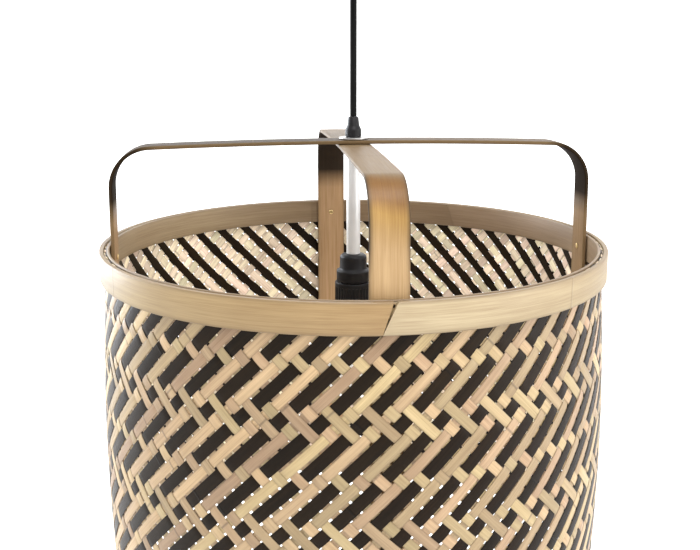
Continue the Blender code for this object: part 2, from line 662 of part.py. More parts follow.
def strap_pins(lamp, made_straps, hoops, wall, brass):
    """A pin at each end of each strap's leg, through the strap and the inner hoop into the wall."""
    levels = {"top": RIM_TOP - HOOP_HEIGHT / 2, "bottom": SHADE_BASE + HOOP_HEIGHT / 2}
    face = LEG_RADIUS - STRAP_THICKNESS / 2 - GAP
    tip = WALL_OUTER - 0.0002
    for place, height in levels.items():
        holes = []
        for side, quarter in STRAP_HEADINGS.items():
            heading = STRAP_TURN + math.radians(quarter)
            middle, depth = (face + tip) / 2, tip - face + 0.006
            holes.append((radial_matrix(heading, middle, height), PIN_RADIUS + GAP, depth))
            length = tip - face
            bm = turned_mesh(
                [
                    (0, -PIN_HEAD_THICKNESS), (PIN_HEAD_RADIUS * 0.7, -PIN_HEAD_THICKNESS),
                    (PIN_HEAD_RADIUS, -PIN_HEAD_THICKNESS * 0.5), (PIN_HEAD_RADIUS, 0),
                    (PIN_RADIUS, 0), (PIN_RADIUS, length), (0, length),
                ],
                8,
            )
            bm.transform(radial_matrix(heading, face, height))
            add_part(f"strap_pin_{place}_{side}", bm, brass, lamp)
        guide = cutter(f"{place}_pin_holes", holes)
        for part in [*made_straps, hoops[place], wall]:
            cut(part, guide)


def main():
    clear_scene()
    bamboo = finish("bamboo", (0.66, 0.46, 0.26), 0.45)
    weave = finish("bamboo_weave", (0.60, 0.43, 0.25), 0.55)
    black = finish("black_plastic", (0.02, 0.02, 0.022), 0.4)
    cord_black = finish("cord_black", (0.02, 0.02, 0.02), 0.6)
    white = finish("white_plastic", (0.8, 0.8, 0.76), 0.5)
    glass = finish("opal_glass", (0.95, 0.94, 0.9), 0.15)
    steel = finish("zinc_steel", (0.55, 0.55, 0.56), 0.35, 1.0)
    nickel = finish("nickel", (0.68, 0.66, 0.62), 0.25, 1.0)
    brass = finish("brass", (0.78, 0.58, 0.28), 0.3, 1.0)

    ceiling = axis_frame("ceiling_frame", 0.0)
    swivel = axis_frame("swivel_pivot_x", BALL_Z, ceiling)
    hanger = axis_frame("swivel_pivot_y", BALL_Z, swivel)
    lamp = axis_frame("lamp_turn_axis", GRIP_TOP, hanger)
    bulb_slide = axis_frame("bulb_slide_axis", BULB_TOP, lamp)
    bulb_turn = axis_frame("bulb_turn_axis", BULB_TOP, bulb_slide)

    ceiling_fitting(ceiling, steel, black, white)
    swivel_and_cord(ceiling, swivel, hanger, black, brass, cord_black)
    centre_stack(lamp, black, steel, nickel, white)
    lampholder(lamp, black, white, brass, steel)
    bulb(bulb_slide, bulb_turn, brass, black, nickel, glass)
    made_straps = straps(lamp, bamboo)
    hoops, wall = shade(lamp, bamboo, weave)
    strap_pins(lamp, made_straps, hoops, wall, brass)


main()
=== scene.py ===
import math

import bpy
import numpy as np
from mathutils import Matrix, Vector


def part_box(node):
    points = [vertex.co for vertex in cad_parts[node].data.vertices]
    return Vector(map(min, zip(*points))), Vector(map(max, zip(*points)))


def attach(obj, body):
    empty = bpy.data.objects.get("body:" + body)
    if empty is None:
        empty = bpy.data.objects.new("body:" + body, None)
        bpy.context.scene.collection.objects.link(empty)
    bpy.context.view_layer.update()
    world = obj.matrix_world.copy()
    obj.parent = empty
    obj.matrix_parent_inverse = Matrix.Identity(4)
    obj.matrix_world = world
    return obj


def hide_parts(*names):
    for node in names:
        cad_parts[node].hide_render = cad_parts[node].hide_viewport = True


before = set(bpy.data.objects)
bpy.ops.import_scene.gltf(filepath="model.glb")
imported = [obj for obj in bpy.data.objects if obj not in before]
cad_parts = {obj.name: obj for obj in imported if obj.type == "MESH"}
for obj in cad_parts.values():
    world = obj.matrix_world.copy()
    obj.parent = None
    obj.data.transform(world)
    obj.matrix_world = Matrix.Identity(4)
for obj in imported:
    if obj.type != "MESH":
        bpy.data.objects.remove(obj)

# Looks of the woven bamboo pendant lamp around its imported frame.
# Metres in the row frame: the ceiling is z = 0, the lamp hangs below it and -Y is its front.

TURN = 2 * math.pi


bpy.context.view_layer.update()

# ---- sizes, read from the frame where it gives them ----
RIM_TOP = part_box("top_hoop_outer")[1].z
HOOP_HEIGHT = RIM_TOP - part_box("top_hoop_outer")[0].z
SHADE_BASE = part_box("bottom_hoop_outer")[0].z
RIM_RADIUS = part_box("top_hoop_outer")[1].x
OUTER_HOOP = 0.0040  # thickness
INNER_HOOP = 0.0025
OUTER_BORE = RIM_RADIUS - OUTER_HOOP
INNER_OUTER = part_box("top_hoop_inner")[1].x
INNER_BORE = INNER_OUTER - INNER_HOOP
WALL_MIDDLE = (OUTER_BORE + INNER_OUTER) / 2
WALL_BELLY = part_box("woven_wall")[1].x - OUTER_BORE
STRAP_TURN = math.radians(6.6)
STRAP_WIDTH = 0.029
STRAP_THICKNESS = 0.0034
STRAP_REACH = 0.21305  # from the axis to the middle of a leg's thickness
STRAP_CORNER = 0.035
STRAP_CROWN = 0.003

# ---- camera ----
CAMERA_PITCH = math.radians(9.85)
camera_data = bpy.data.cameras.new("camera")
camera_data.lens = 50.3
camera_data.sensor_width = 36
camera_data.shift_y = -0.09
camera_data.clip_end = 50
camera = bpy.data.objects.new("camera", camera_data)
camera.location = (-0.003, -0.874, RIM_TOP + 0.176)
camera.rotation_euler = (math.pi / 2 - CAMERA_PITCH, 0, 0)
bpy.context.scene.collection.objects.link(camera)
bpy.context.scene.camera = camera


# ---- materials ----
class Finish:
    """A material and short ways to add nodes to it."""

    def __init__(self, name, roughness=0.5, metallic=0.0):
        self.material = bpy.data.materials.new(name)
        self.material.use_nodes = True
        self.tree = self.material.node_tree
        self.shader = self.tree.nodes["Principled BSDF"]
        self.shader.inputs["Roughness"].default_value = roughness
        self.shader.inputs["Metallic"].default_value = metallic

    def add(self, kind, inputs=(), **settings):
        """A new node. Its inputs are pairs of a socket's name or number and a value or an output."""
        made = self.tree.nodes.new("ShaderNode" + kind)
        for key, value in settings.items():
            setattr(made, key, value)
        for key, value in inputs:
            self.feed(made.inputs[key], value)
        return made

    def feed(self, socket, value):
        """Links an output to a socket, or sets its value."""
        if isinstance(value, bpy.types.NodeSocket):
            self.tree.links.new(value, socket)
        else:
            socket.default_value = value

    def maths(self, operation, a, b=0.0):
        return self.add("Math", [(0, a), (1, b)], operation=operation).outputs[0]

    def noise(self, vector, scale, detail=2.0, roughness=0.5):
        inputs = [("Vector", vector), ("Scale", scale), ("Detail", detail), ("Roughness", roughness)]
        return self.add("TexNoise", inputs).outputs["Fac"]

    def place(self):
        return self.add("TexCoord").outputs["Object"]

    def stretch(self, low, high, value):
        """A value from low to high, spread over 0 to 1."""
        inputs = [("Value", value), ("From Min", low), ("From Max", high)]
        return self.add("MapRange", inputs).outputs["Result"]

    def ramp(self, value, stops):
        """A colour ramp through (position, colour) stops."""
        made = self.add("ValToRGB", [("Fac", value)])
        ramp = made.color_ramp
        while len(ramp.elements) < len(stops):
            ramp.elements.new(0.5)
        for element, (position, colour) in zip(ramp.elements, stops):
            element.position = position
            element.color = (*colour, 1.0)
        return made.outputs["Color"]

    def mix(self, share, a, b, blend_type="MIX"):
        made = self.add("Mix", data_type="RGBA", blend_type=blend_type)
        for index, value in ((0, share), (6, a), (7, b)):
            if isinstance(value, tuple) and len(value) == 3:
                value = (*value, 1.0)
            self.feed(made.inputs[index], value)
        return made.outputs[2]

    def colour(self, value):
        self.feed(self.shader.inputs["Base Color"], value)

    def bump(self, height, distance, strength=1.0):
        inputs = [("Height", height), ("Distance", distance), ("Strength", strength)]
        self.feed(self.shader.inputs["Normal"], self.add("Bump", inputs).outputs["Normal"])


def bamboo_finish(
    name, pale, deep, tints=None, ends=(0.0, 1.0), node_pitch=0.27, node_depth=0.5, gloss=0.45,
    spread=0.26, edge_darkening=0.55, under_tint=None, bend=None,
):
    """Split bamboo: long fibres, streaks, joints across the strip and darker edges.
    tints is a ramp of colours along the strip, between its two ends, painted light and shade included.
    under_tint colours the inner face, painted light and shade included. bend is the stretch, from the
    strip's middle, where painted shade darkens that face and the edges."""
    f = Finish(name)
    strip = f.add("Attribute", attribute_name="strip")
    tone = f.add("Attribute", attribute_name="tone").outputs["Fac"]
    under = f.add("Attribute", attribute_name="under").outputs["Fac"]
    parts = f.add("SeparateXYZ", [(0, strip.outputs["Vector"])]).outputs
    along, across, edge = parts[0], parts[1], parts[2]

    def strip_noise(along_scale, across_scale, detail):
        vector = f.add(
            "CombineXYZ",
            [
                (0, f.maths("MULTIPLY", along, along_scale)),
                (1, f.maths("MULTIPLY", across, across_scale)),
                (2, f.maths("MULTIPLY", tone, 60.0)),
            ],
        )
        return f.noise(vector.outputs[0], 1.0, detail, 0.6)

    fibres = strip_noise(35.0, 2200.0, 2.0)
    streaks = strip_noise(9.0, 420.0, 3.0)
    patches = strip_noise(14.0, 30.0, 2.0)
    blend = f.maths("ADD", f.maths("MULTIPLY", fibres, 0.40), f.maths("MULTIPLY", streaks, 0.38))
    blend = f.maths("ADD", blend, f.maths("MULTIPLY", patches, 0.22))
    grain = f.stretch(0.36, 0.64, blend)
    colour = f.mix(grain, deep, pale)
    if tints:
        wander = f.maths("MULTIPLY", f.maths("SUBTRACT", patches, 0.5), 0.02)
        tint = f.ramp(f.stretch(*ends, f.maths("ADD", along, wander)), tints)
        colour = f.mix(1.0, colour, tint, "MULTIPLY")
    # every strip has a lightness and a hue of its own
    value = f.maths("ADD", f.maths("MULTIPLY", tone, spread), 1.0 - spread / 2)
    other = f.maths("FRACT", f.maths("MULTIPLY", tone, 17.0))
    hue = f.maths("ADD", f.maths("MULTIPLY", other, 0.06 * spread), 0.5 - 0.028 * spread)
    inputs = [("Hue", hue), ("Value", value), ("Color", colour)]
    colour = f.add("HueSaturation", inputs).outputs["Color"]
    # joints of the culm cross the strip as a thin dark line
    pitches = f.maths("ADD", f.maths("DIVIDE", along, node_pitch), f.maths("MULTIPLY", tone, 7.3))
    from_joint = f.maths("ABSOLUTE", f.maths("SUBTRACT", f.maths("FRACT", pitches), 0.5))
    line = f.stretch(0.0045, 0.0015, from_joint)
    colour = f.mix(f.maths("MULTIPLY", line, node_depth), colour, tuple(0.25 * c for c in deep))
    if under_tint:
        colour = f.mix(under, colour, f.mix(1.0, colour, under_tint, "MULTIPLY"))
    # the strip's edges are darkened
    rim = f.maths("POWER", f.maths("ABSOLUTE", edge), 9.0)
    colour = f.mix(f.maths("MULTIPLY", rim, edge_darkening), colour, tuple(0.30 * c for c in deep))
    # painted shade: the inner face and edges round each strap's bend are darkened to near black, as under
    # its corner
    if bend:
        start, end = bend
        distance = f.maths("ABSOLUTE", along)
        entry, leaving = f.stretch(start, start + 0.02, distance), f.stretch(end, end - 0.02, distance)
        zone = f.maths("MULTIPLY", entry, leaving)
        share = f.maths("MAXIMUM", under, f.maths("MULTIPLY", rim, 0.92))
        painted_bend_shade = f.maths("MULTIPLY", f.maths("MULTIPLY", zone, share), 0.96)
        colour = f.mix(painted_bend_shade, colour, (0.008, 0.004, 0.0015))
    f.colour(colour)
    rough = f.maths("ADD", f.maths("MULTIPLY", fibres, 0.30), gloss - 0.15)
    if bend:
        # the painted shade at the bend is made dull as well
        rough = f.maths("MAXIMUM", rough, f.maths("MULTIPLY", painted_bend_shade, 0.85))
    f.feed(f.shader.inputs["Roughness"], rough)
    relief = f.maths("ADD", fibres, f.maths("MULTIPLY", line, 1.5))
    f.bump(relief, 0.0002, 0.55)
    return f.material


def plain_finish(name, colour, roughness, metallic=0.0, grain=400.0, depth=0.00004):
    """Moulded, painted or plated surfaces: one colour with a fine uneven skin and patchy gloss."""
    f = Finish(name, roughness, metallic)
    fine = f.noise(f.place(), grain, 3.0)
    broad = f.noise(f.place(), 35.0, 2.0)
    dark = tuple((0.90 if metallic else 0.78) * c for c in colour)
    f.colour(f.mix(f.stretch(0.35, 0.65, broad), dark, colour))
    patchy = 0.10 if metallic else 0.25
    rough = f.maths("ADD", f.maths("MULTIPLY", broad, patchy), roughness - patchy / 2)
    f.feed(f.shader.inputs["Roughness"], rough)
    f.bump(fine, depth, 0.5)
    return f.material


def opal_finish(name):
    """Opal glass: milky, softly translucent and glossy."""
    f = Finish(name, 0.18)
    f.colour(f.mix(f.noise(f.place(), 60.0), (0.90, 0.89, 0.85), (0.96, 0.95, 0.92)))
    f.shader.inputs["Subsurface Weight"].default_value = 0.25
    f.shader.inputs["Subsurface Radius"].default_value = (0.01, 0.009, 0.007)
    f.shader.inputs["Coat Weight"].default_value = 0.4
    return f.material


NATURAL = ((0.76, 0.545, 0.305), (0.50, 0.325, 0.160))
SPLINT = ((0.535, 0.38, 0.213), (0.32, 0.207, 0.105))
STAINED = ((0.018, 0.009, 0.003), (0.006, 0.003, 0.001))
# painted light and shade along the cross strap, from its middle outwards: the flat top dark and grey, a
# darker brown band round the bend and pale legs, as the light falls on them
CROSS_STRAP_SHADING = [
    (0.00, (0.22, 0.20, 0.18)),
    (0.305, (0.22, 0.20, 0.18)),
    (0.324, (0.235, 0.155, 0.08)),
    (0.350, (0.28, 0.185, 0.095)),
    (0.368, (0.52, 0.43, 0.26)),
    (0.41, (0.68, 0.63, 0.60)),
    (1.00, (0.68, 0.63, 0.60)),
]
# painted light and shade along the side strap, from its right foot to its left: pale legs, the left one
# paler, and the flat top in painted shade, darkest on its left half
SIDE_STRAP_SHADING = [
    (0.00, (0.62, 0.61, 0.58)),
    (0.29, (0.44, 0.43, 0.42)),
    (0.32, (0.15, 0.15, 0.155)),
    (0.46, (0.13, 0.13, 0.135)),
    (0.53, (0.055, 0.052, 0.050)),
    (0.68, (0.055, 0.052, 0.050)),
    (0.71, (0.60, 0.58, 0.56)),
    (1.00, (0.85, 0.82, 0.78)),
]
# colours round the outer hoops from their joint: the strip's own change of colour across the joint, with
# painted light in it, on the top hoop the bluish grey round the left where the side lamp falls
HOOP_TONE_AND_SHADING = [
    (0.00, (0.70, 0.81, 0.89)),
    (0.25, (0.42, 0.42, 0.28)),
    (0.75, (0.46, 0.54, 0.62)),
    (0.84, (0.55, 0.58, 0.49)),
    (1.00, (0.55, 0.53, 0.41)),
]
# painted light and shade round the inner hoops from their joint: on the top hoop, dark at the back right
# and paler and bluish at the back left
INNER_HOOP_SHADING = [
    (0.00, (0.26, 0.25, 0.24)),
    (0.10, (0.30, 0.29, 0.27)),
    (0.20, (0.42, 0.45, 0.45)),
    (0.80, (0.36, 0.36, 0.37)),
    (1.00, (0.28, 0.27, 0.27)),
]
SHADED_BEND = (0.172, 0.264)  # from a strap's middle, where painted shade darkens its inner face
STRAP_ENDS = (-0.60, 0.60)  # where a strap's ramp of tints starts and ends, from its middle
HOOP_ENDS = (0.0, TURN * RIM_RADIUS)  # and a hoop's, from its joint


def mirrored(tints):
    """The stops of a ramp from a strip's middle, both ways from it."""
    back = [(0.5 - position / 2, colour) for position, colour in reversed(tints[1:])]
    return back + [(0.5 + position / 2, colour) for position, colour in tints]


# the splints' inner faces are paler, as bamboo is inside, and bluish white with painted light, the light
# seen inside the shade
natural = bamboo_finish("bamboo_splint", *SPLINT, spread=0.50, under_tint=(1.85, 2.22, 3.00))
stained = bamboo_finish("bamboo_splint_stained", *STAINED, gloss=0.40)
# the straps' under_tint darkens their inner faces: painted shade, as those faces look into the shade
cross_bamboo = bamboo_finish(
    "bamboo_cross_strap", *NATURAL, mirrored(CROSS_STRAP_SHADING), STRAP_ENDS, node_depth=0.25, edge_darkening=0.70,
    under_tint=(0.92, 0.86, 0.88), bend=SHADED_BEND,
)
side_bamboo = bamboo_finish(
    "bamboo_side_strap", *NATURAL, SIDE_STRAP_SHADING, STRAP_ENDS, node_depth=0.25, edge_darkening=0.80,
    under_tint=(0.80, 0.78, 0.76), bend=SHADED_BEND,
)
hoop_bamboo = bamboo_finish(
    "bamboo_hoop", *NATURAL, HOOP_TONE_AND_SHADING, HOOP_ENDS, node_pitch=0.33, node_depth=0.25, edge_darkening=0.75,
)
inner_bamboo = bamboo_finish(
    "bamboo_inner_hoop", *NATURAL, INNER_HOOP_SHADING, HOOP_ENDS, node_pitch=0.33, node_depth=0.25,
    edge_darkening=0.75,
)
black_plastic = plain_finish("black_plastic", (0.006, 0.005, 0.006), 0.46)
black_metal = plain_finish("black_paint", (0.020, 0.020, 0.021), 0.50, grain=1500.0)
black_cord = plain_finish("black_cord", (0.004, 0.004, 0.004), 0.75, grain=900.0)
white_plastic = plain_finish("white_plastic", (0.80, 0.79, 0.75), 0.45)
steel = plain_finish("zinc_steel", (0.40, 0.40, 0.41), 0.42, 1.0, 250.0)
nickel = plain_finish("satin_nickel", (0.54, 0.52, 0.50), 0.34, 1.0, 300.0)
brass = plain_finish("brass", (0.76, 0.56, 0.27), 0.32, 1.0, 300.0)
sleeve_finish = plain_finish("satin_sleeve", (0.86, 0.86, 0.86), 0.34, 0.30, 300.0)
opal = opal_finish("opal_glass")
# at the default level of reflection the pale sweep makes dark surfaces look grey
for material, sheen in (
    (stained, 0.13),
    (cross_bamboo, 0.22),
    (side_bamboo, 0.06),
    (black_plastic, 0.30),
    (black_cord, 0.15),
):
    material.node_tree.nodes["Principled BSDF"].inputs["Specular IOR Level"].default_value = sheen


# ---- meshes ----
class Solid:
    """The sweeps that make up one piece, with each point's place on its strip."""

    def __init__(self):
        self.points, self.faces, self.strip, self.tone, self.under = [], [], [], [], []
        self.count = 0

    def sweep(self, sections, along=None, outline=None, tone=0.5, loop=False):
        """A closed solid through rings of points, an array of (rows, ring, 3). The outline's pairs
        are each ring point's place across the strip and outwards."""
        rows, ring, _ = sections.shape
        index = np.arange(rows * ring).reshape(rows, ring) + self.count
        lower = np.roll(index, -1, axis=0) if loop else index[1:]
        upper = index if loop else index[:-1]
        quads = [upper, np.roll(upper, -1, axis=1), np.roll(lower, -1, axis=1), lower]
        self.faces += np.stack(quads, axis=-1).reshape(-1, 4).tolist()
        if not loop:
            self.faces += [index[0, ::-1].tolist(), index[-1].tolist()]
        self.points.append(sections.reshape(-1, 3))
        along = np.zeros(rows) if along is None else np.asarray(along)
        outline = np.zeros((ring, 2)) if outline is None else np.asarray(outline)
        across = outline[:, 0]
        half = max(np.abs(across).max(), 1e-6)
        grid = np.zeros((rows, ring, 3))
        grid[..., 0] = along[:, None]
        grid[..., 1] = across[None, :]
        grid[..., 2] = across[None, :] / half
        self.strip.append(grid.reshape(-1, 3))
        self.tone.append(np.full(rows * ring, tone))
        self.under.append(np.tile(np.where(outline[:, 1] < 0, 1.0, 0.0), rows))
        self.count += rows * ring

    def piece(self, name, material, body, slot, replaces=(), sharp=35):
        """The finished object. Edges that turn by more than sharp degrees are shaded as edges."""
        mesh = bpy.data.meshes.new(name)
        mesh.from_pydata(np.concatenate(self.points).tolist(), [], self.faces)
        strip = mesh.attributes.new("strip", "FLOAT_VECTOR", "POINT")
        strip.data.foreach_set("vector", np.concatenate(self.strip).ravel())
        for label, values in (("tone", self.tone), ("under", self.under)):
            attribute = mesh.attributes.new(label, "FLOAT", "POINT")
            attribute.data.foreach_set("value", np.concatenate(values))
        mesh.shade_smooth()
        mesh.set_sharp_from_angle(angle=math.radians(sharp))
        mesh.materials.append(material)
        made = bpy.data.objects.new(name, mesh)
        bpy.context.scene.collection.objects.link(made)
        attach(made, body)
        if replaces:
            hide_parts(*replaces)
        return made


def strip_sections(centres, outward, outline):
    """Rings of points around a centreline. The outline is (across, out) pairs, anticlockwise."""
    along = np.gradient(centres, axis=0)
    along /= np.linalg.norm(along, axis=1, keepdims=True)
    out = outward - along * np.sum(outward * along, axis=1, keepdims=True)
    out /= np.linalg.norm(out, axis=1, keepdims=True)
    side = np.cross(out, along)
    outline = np.asarray(outline)
    if outline.ndim == 2:
        outline = np.broadcast_to(outline, (len(centres), *outline.shape))
    return (
        centres[:, None, :]
        + side[:, None, :] * outline[..., :1]
        + out[:, None, :] * outline[..., 1:]
    )


def run_lengths(points):
    """Distance along a row of points to each of them."""
    steps = np.linalg.norm(np.diff(points, axis=0), axis=1)
    return np.concatenate([[0.0], np.cumsum(steps)])


def rounded_outline(width, thickness, radius, steps=3, crown=0.0):
    """A rectangle with round corners, whose outer face may be crowned, as (across, out) pairs."""
    w, t = width / 2 - radius, thickness / 2 - radius
    points = []
    for number, (x, y) in enumerate([(w, -t), (w, t), (-w, t), (-w, -t)]):
        for step in range(steps + 1):
            angle = math.radians(90 * (number - 1 + step / steps))
            points.append([x + radius * math.cos(angle), y + radius * math.sin(angle)])
        if number == 1 and crown:
            points += [[w * s, thickness / 2 + crown * (1 - s * s)] for s in (0.6, 0.2, -0.2, -0.6)]
    return np.array(points)


def turned(name, profile, material, body, slot, replaces=(), segments=64, radius_at=None, sharp=35):
    """A solid turned about the lamp's axis from (radius, height) points, listed from top to bottom on
    the outside. A profile that starts and ends at radius 0 is closed there, any other is a ring."""
    profile = [(max(r, 0.00002), z) for r, z in profile]
    angles = np.arange(segments) * TURN / segments
    sections = np.zeros((segments, len(profile), 3))
    for i, angle in enumerate(angles):
        for k, (radius, height) in enumerate(profile):
            r = radius_at(radius, height, angle) if radius_at else radius
            sections[i, k] = (r * math.cos(angle), r * math.sin(angle), height)
    solid = Solid()
    solid.sweep(sections[:, ::-1], along=angles * profile[1][0], loop=True)
    return solid.piece(name, material, body, slot, replaces, sharp)


def arc(centre, radius, start, end, steps):
    """Points on an arc in the radius and height plane, angles in degrees from outward."""
    angles = np.radians(np.linspace(start, end, steps + 1))
    return [(centre[0] + radius * math.cos(a), centre[1] + radius * math.sin(a)) for a in angles]


# ---- the cord ----
CORD_TOP = -0.0644  # in the ceiling fitting's sleeve
CORD_BASE = -0.1836  # in the cord grip
CORD_DIAMETER = 0.006


def supply_cord():
    """The stretch of cord between the ceiling fitting's sleeve and the cord grip, held taut."""
    curve = bpy.data.curves.new("cord", "CURVE")
    curve.dimensions = "3D"
    curve.bevel_depth = CORD_DIAMETER / 2
    curve.bevel_resolution = 6
    curve.use_fill_caps = True
    spline = curve.splines.new("POLY")
    steps = 20
    spline.points.add(steps)
    for i, point in enumerate(spline.points):
        point.co = (0, 0, CORD_BASE + (CORD_TOP - CORD_BASE) * i / steps, 1)
    curve.materials.append(black_cord)
    cord = bpy.data.objects.new("cord", curve)
    bpy.context.scene.collection.objects.link(cord)
    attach(cord, "hanger")
    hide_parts("supply_cord")


supply_cord()

# ---- the woven wall ----
PAIRS = 48  # one natural and one stained splint rise in each
PITCH = TURN / (2 * PAIRS)
CELL = WALL_MIDDLE * PITCH / 2  # height from one row of crossings to the next
WEAVE_TOP = RIM_TOP - 0.0494  # where the first whole row of long marks starts
WEAVE_START = math.radians(-85.9)
SPLINT_TOP = RIM_TOP - 0.0015
SPLINT_BASE = SHADE_BASE + 0.0015
ROW_AT_RIM = (WEAVE_TOP - SPLINT_TOP) / CELL  # the splints' ends, in rows
ROW_AT_BASE = (WEAVE_TOP - SPLINT_BASE) / CELL
ROWS = range(-7, 38)  # from above the rim to below the base
STAINED_WIDTH = 0.0098
NATURAL_WIDTH = 0.0081
SPLINT_THICKNESS = 0.0006
LIFT = 0.00038  # of a splint over the wall's middle where it lies on top
LINING_LIFT = -0.00098  # of the dark splints inside the wall
# each row of crossings, downwards, where a rising splint lies over (1) or under (-1) the falling one
STAINED_ROWS = (1, 1, 1, 1, -1, 1, -1, 1, 1, 1, 1, -1)
NATURAL_ROWS = (1, 1, 1, 1, -1, -1, -1, 1, 1, 1, 1, -1)
rng = np.random.default_rng(7)


def wall_radius(height):
    """Middle of the woven wall: upright inside the hoops, bowed out between them."""
    low, high = SHADE_BASE + HOOP_HEIGHT, RIM_TOP - HOOP_HEIGHT
    share = np.clip((height - low) / (high - low), 0.0, 1.0)
    return WALL_MIDDLE + WALL_BELLY * np.sin(math.pi * share)


def rising_state(splint, row):
    """Whether a rising splint lies over or under the falling one in a row."""
    rows = NATURAL_ROWS if splint % 2 else STAINED_ROWS
    return rows[row % len(rows)]


def splint_stations(states):
    """Rows along a splint, and its height over the wall's middle there as a share of LIFT: one
    station at each crossing, three more wherever the splint changes sides and one at each end."""
    stations = []
    for row, state, following in zip(ROWS, states, [*states[1:], states[-1]]):
        middle = row + 0.5
        stations.append((middle, state))
        if following != state:
            stations += [(middle + 0.32, 0.92 * state), (middle + 0.5, 0.0)]
            stations += [(middle + 0.68, 0.92 * following)]
    margin = 0.75
    kept = [s for s in stations if ROW_AT_RIM + margin < s[0] < ROW_AT_BASE - margin]
    return np.array([(ROW_AT_RIM, kept[0][1]), *kept, (ROW_AT_BASE, kept[-1][1])]).T


def cut_level(sections, row, height):
    """Moves one end ring's points along their strip until all are at the same height."""
    inner = sections[1] if row == 0 else sections[-2]
    direction = (sections[row] - inner).mean(axis=0)
    travel = (height - sections[row][:, 2]) / direction[2]
    sections[row] += travel[:, None] * direction


def splint_outline(width, thickness):
    """A thin strip's section, with its outer face a little crowned."""
    w, t = width / 2, thickness / 2
    right = [(0.6 * w, -t), (w, -0.3 * t), (w, 0.3 * t), (0.55 * w, t)]
    left = [(-across, out) for across, out in reversed(right)]
    return np.array(right + left)


def add_splint(solid, number, rise, rows, lift, width, start):
    """One splint wound round the wall. rise is 1 where it climbs to the right, and -1 where it falls."""
    wander = 0.0004 * np.sin(rows * rng.uniform(0.25, 0.55) + rng.uniform(0, TURN))
    heights = WEAVE_TOP - rows * CELL
    angle = start + PITCH * (number - rise * rows / 2) + wander / WALL_MIDDLE
    radius = wall_radius(heights) + lift
    out = np.stack([np.cos(angle), np.sin(angle), np.zeros_like(angle)], axis=1)
    centres = out * radius[:, None]
    centres[:, 2] = heights
    outline = splint_outline(width * rng.uniform(0.96, 1.04), SPLINT_THICKNESS)
    sections = strip_sections(centres, out, outline)
    cut_level(sections, 0, SPLINT_TOP)
    cut_level(sections, -1, SPLINT_BASE)
    solid.sweep(sections, run_lengths(centres), outline, rng.uniform(0, 1))


def woven_wall():
    """Rising splints, natural and stained by turns, the falling ones woven through them and a
    lining of stained splints behind the stained rising ones."""
    solids = {name: Solid() for name in ("natural", "stained", "lining", "falling_a", "falling_b")}
    for number in range(2 * PAIRS):
        stations, states = splint_stations([rising_state(number, row) for row in ROWS])
        kind, width = ("natural", NATURAL_WIDTH) if number % 2 else ("stained", STAINED_WIDTH)
        add_splint(solids[kind], number, 1, stations, states * LIFT, width, WEAVE_START)
    for number in range(2 * PAIRS):
        stations, states = splint_stations([-rising_state(row + number, row) for row in ROWS])
        kind = "falling_b" if number % 2 else "falling_a"
        start = WEAVE_START - PITCH / 2
        add_splint(solids[kind], number, -1, stations, states * LIFT, NATURAL_WIDTH, start)
    plain = np.linspace(ROW_AT_RIM, ROW_AT_BASE, 50)
    for number in range(0, 2 * PAIRS, 2):
        add_splint(solids["lining"], number, 1, plain, LINING_LIFT, NATURAL_WIDTH, WEAVE_START)
    for kind, name, material in (
        ("natural", "weave_rising_natural", natural),
        ("stained", "weave_rising_stained", stained),
        ("falling_a", "weave_falling_even", natural),
        ("falling_b", "weave_falling_odd", natural),
        ("lining", "weave_lining_stained", stained),
    ):
        solids[kind].piece(name, material, "lamp", "bamboo_weave", ["woven_wall"], 60)


woven_wall()


# ---- hoops ----
def hoop(name, bore, outer, base, joint, notch=0.0):
    """A bamboo strip bent to a ring. Its cut ends meet at the azimuth called joint, on a leaning
    line. Their upper corners are worn off, which leaves a notch of the given width at the top."""
    joint, slant = math.radians(joint), math.radians(2.4)
    steps = 240
    outline = rounded_outline(HOOP_HEIGHT, outer - bore, 0.0008, 3, 0.0)
    middle = (outer + bore) / 2
    sections = np.zeros((steps + 1, len(outline), 3))
    ends = math.radians(5)
    for i in range(steps + 1):
        turned_by = TURN * i / steps
        for k, (rise, out) in enumerate(outline):
            share = rise / HOOP_HEIGHT + 0.5
            worn = max(0.0, (share - 0.72) / 0.28) ** 1.5
            gap = (0.0002 + notch * worn) / middle
            lean = slant * (share - 0.5) * max(0.0, 1 - min(turned_by, TURN - turned_by) / ends)
            angle = joint + lean + gap / 2 + turned_by * (1 - gap / TURN)
            radius = middle + out
            level = base + HOOP_HEIGHT / 2 + rise
            sections[i, k] = (radius * math.cos(angle), radius * math.sin(angle), level)
    solid = Solid()
    along = np.linspace(0, TURN * middle, steps + 1)
    solid.sweep(sections, along, outline, tone=0.413)
    material = inner_bamboo if "inner" in name else hoop_bamboo
    return solid.piece(name, material, "lamp", "bamboo", [name.replace("_strip", "")])


TOP_BASE = RIM_TOP - HOOP_HEIGHT
hoop("top_hoop_outer_strip", OUTER_BORE, RIM_RADIUS, TOP_BASE, -83.8, 0.0036)
hoop("top_hoop_inner_strip", INNER_BORE, INNER_OUTER, TOP_BASE, 60)
hoop("bottom_hoop_outer_strip", OUTER_BORE, RIM_RADIUS, SHADE_BASE, -52.5)
hoop("bottom_hoop_inner_strip", INNER_BORE, INNER_OUTER, SHADE_BASE, 127.5)


# ---- straps ----
def strap_half(top, foot):
    """Half a strap's centreline, from the foot of a leg to the middle of the top: (reach, height)."""
    middle = top - STRAP_THICKNESS / 2
    shoulder = middle - STRAP_CROWN
    corner = (STRAP_REACH - STRAP_CORNER, shoulder - STRAP_CORNER)
    half = [(STRAP_REACH, foot + (corner[1] - foot) * i / 60) for i in range(60)]
    half += arc(corner, STRAP_CORNER, 0, 90, 24)
    for i in range(1, 41):
        reach = corner[0] * (1 - i / 40)
        half.append((reach, shoulder + STRAP_CROWN * (1 - (reach / corner[0]) ** 2)))
    return half


